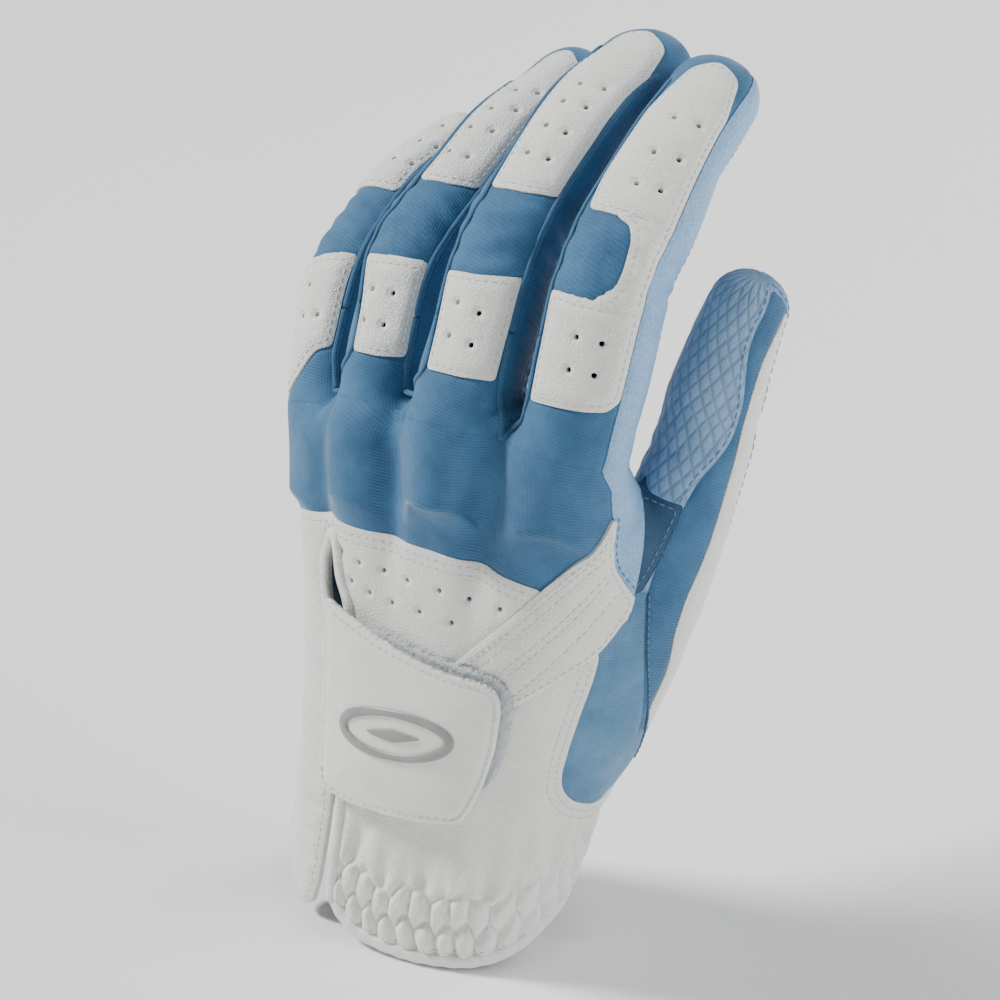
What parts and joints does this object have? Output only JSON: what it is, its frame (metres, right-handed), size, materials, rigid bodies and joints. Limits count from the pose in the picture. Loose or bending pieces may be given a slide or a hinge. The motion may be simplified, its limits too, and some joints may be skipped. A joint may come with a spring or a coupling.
{
  "type": "golf glove",
  "caption": "Left-hand golf glove with jointed fingers and thumb, a wrist slit, a shirred cuff and a hook-and-loop closing tab.",
  "frame": {"origin": "middle of the wrist opening, level with the lowest point of the cuff's back", "axes": "+Z from the wrist to the fingers, +X towards the thumb, +Y towards the palm; the back of the hand faces -Y"},
  "size_m": [0.1, 0.0861, 0.1707],
  "materials": {
    "white_leather": "fine grain, matte",
    "blue_knit": "fine ribbed stretch knit",
    "palm_leather": "soft, diamond embossed",
    "pale_leather": "soft, smooth",
    "dark_knit": "knit, stitched",
    "cuff_cloth": "soft coated cloth, gathered",
    "felt": "brushed loop pile",
    "hook_plastic": "moulded hooks",
    "badge": "satin moulded"
  },
  "bodies": {
    "hand": {"back_panel": "blue_knit", "yoke": "white_leather", "diagonal_strap": "white_leather", "lower_back": "white_leather", "ulnar_flap": "white_leather", "slit_binding": "cuff_cloth", "cuff_shirring": "cuff_cloth", "hem_binding": "cuff_cloth", "palm_cuff": "cuff_cloth", "palm_panel": "palm_leather", "ulnar_side": "blue_knit", "radial_panel": "blue_knit", "palm_edge": "pale_leather", "thumb_base_palm": "palm_leather", "thumb_base_back": "blue_knit", "thumb_base_edge": "white_leather", "thumb_gusset": "dark_knit", "loop_pad": "felt"},
    "tab": {"closing_tab": "white_leather", "hook_pad": "hook_plastic", "tab_badge": "badge"},
    "thumb": {"thumb_palm": "palm_leather", "thumb_back": "blue_knit", "thumb_edge": "white_leather", "thumb_sleeve": "blue_knit"},
    "index_low_seg": {"index_low": "blue_knit", "index_low_palm": "palm_leather", "index_knuckle_patch": "white_leather"},
    "index_end_seg": {"index_end": "blue_knit", "index_end_palm": "palm_leather", "index_tip_patch": "white_leather", "index_sleeve": "blue_knit"},
    "middle_low_seg": {"middle_low": "blue_knit", "middle_low_palm": "palm_leather", "middle_knuckle_patch": "white_leather"},
    "middle_end_seg": {"middle_end": "blue_knit", "middle_end_palm": "palm_leather", "middle_tip_patch": "white_leather", "middle_sleeve": "blue_knit"},
    "ring_low_seg": {"ring_low": "blue_knit", "ring_low_palm": "palm_leather", "ring_knuckle_patch": "white_leather"},
    "ring_end_seg": {"ring_end": "blue_knit", "ring_end_palm": "palm_leather", "ring_tip_patch": "white_leather", "ring_sleeve": "blue_knit"},
    "little_low_seg": {"little_low": "blue_knit", "little_low_palm": "palm_leather", "little_knuckle_patch": "white_leather"},
    "little_end_seg": {"little_end": "blue_knit", "little_end_palm": "palm_leather", "little_tip_patch": "white_leather", "little_sleeve": "blue_knit"}
  },
  "joints": [
    {"name": "tab_peel", "type": "hinge", "parent": "hand", "child": "tab", "pos_m": [-0.01442, -0.01754, 0.0505], "axis": [-0.0124, -0.0419, -0.999], "range_deg": [0, 120]},
    {"name": "thumb_fold", "type": "hinge", "parent": "hand", "child": "thumb", "pos_m": [0.04332, 0.0186, 0.09624], "axis": [-1, 0, 0], "range_deg": [-12, 20], "deforming": ["thumb_sleeve"]},
    {"name": "index_root_fold", "type": "hinge", "parent": "hand", "child": "index_low_seg", "pos_m": [0.0326, -0.0017, 0.1159], "axis": [-1, 0, 0], "range_deg": [-20, 18]},
    {"name": "index_middle_fold", "type": "hinge", "parent": "index_low_seg", "child": "index_end_seg", "pos_m": [0.03368, 0.00777, 0.14055], "axis": [-1, 0, 0], "range_deg": [-30, 37], "deforming": ["index_sleeve"]},
    {"name": "middle_root_fold", "type": "hinge", "parent": "hand", "child": "middle_low_seg", "pos_m": [0.0109, -0.0058, 0.1158], "axis": [-1, 0, 0], "range_deg": [-20, 35]},
    {"name": "middle_middle_fold", "type": "hinge", "parent": "middle_low_seg", "child": "middle_end_seg", "pos_m": [0.01038, 0.00871, 0.14028], "axis": [-1, 0, 0], "range_deg": [-30, 50], "deforming": ["middle_sleeve"]},
    {"name": "ring_root_fold", "type": "hinge", "parent": "hand", "child": "ring_low_seg", "pos_m": [-0.0114, -0.0004, 0.1104], "axis": [-1, 0, 0], "range_deg": [-20, 35]},
    {"name": "ring_middle_fold", "type": "hinge", "parent": "ring_low_seg", "child": "ring_end_seg", "pos_m": [-0.01234, 0.012, 0.13236], "axis": [-1, 0, 0], "range_deg": [-30, 44], "deforming": ["ring_sleeve"]},
    {"name": "little_root_fold", "type": "hinge", "parent": "hand", "child": "little_low_seg", "pos_m": [-0.031, 0.0085, 0.1028], "axis": [-1, 0, 0], "range_deg": [-20, 35]},
    {"name": "little_middle_fold", "type": "hinge", "parent": "little_low_seg", "child": "little_end_seg", "pos_m": [-0.03405, 0.01865, 0.11971], "axis": [-1, 0, 0], "range_deg": [-30, 44], "deforming": ["little_sleeve"]}
  ]
}
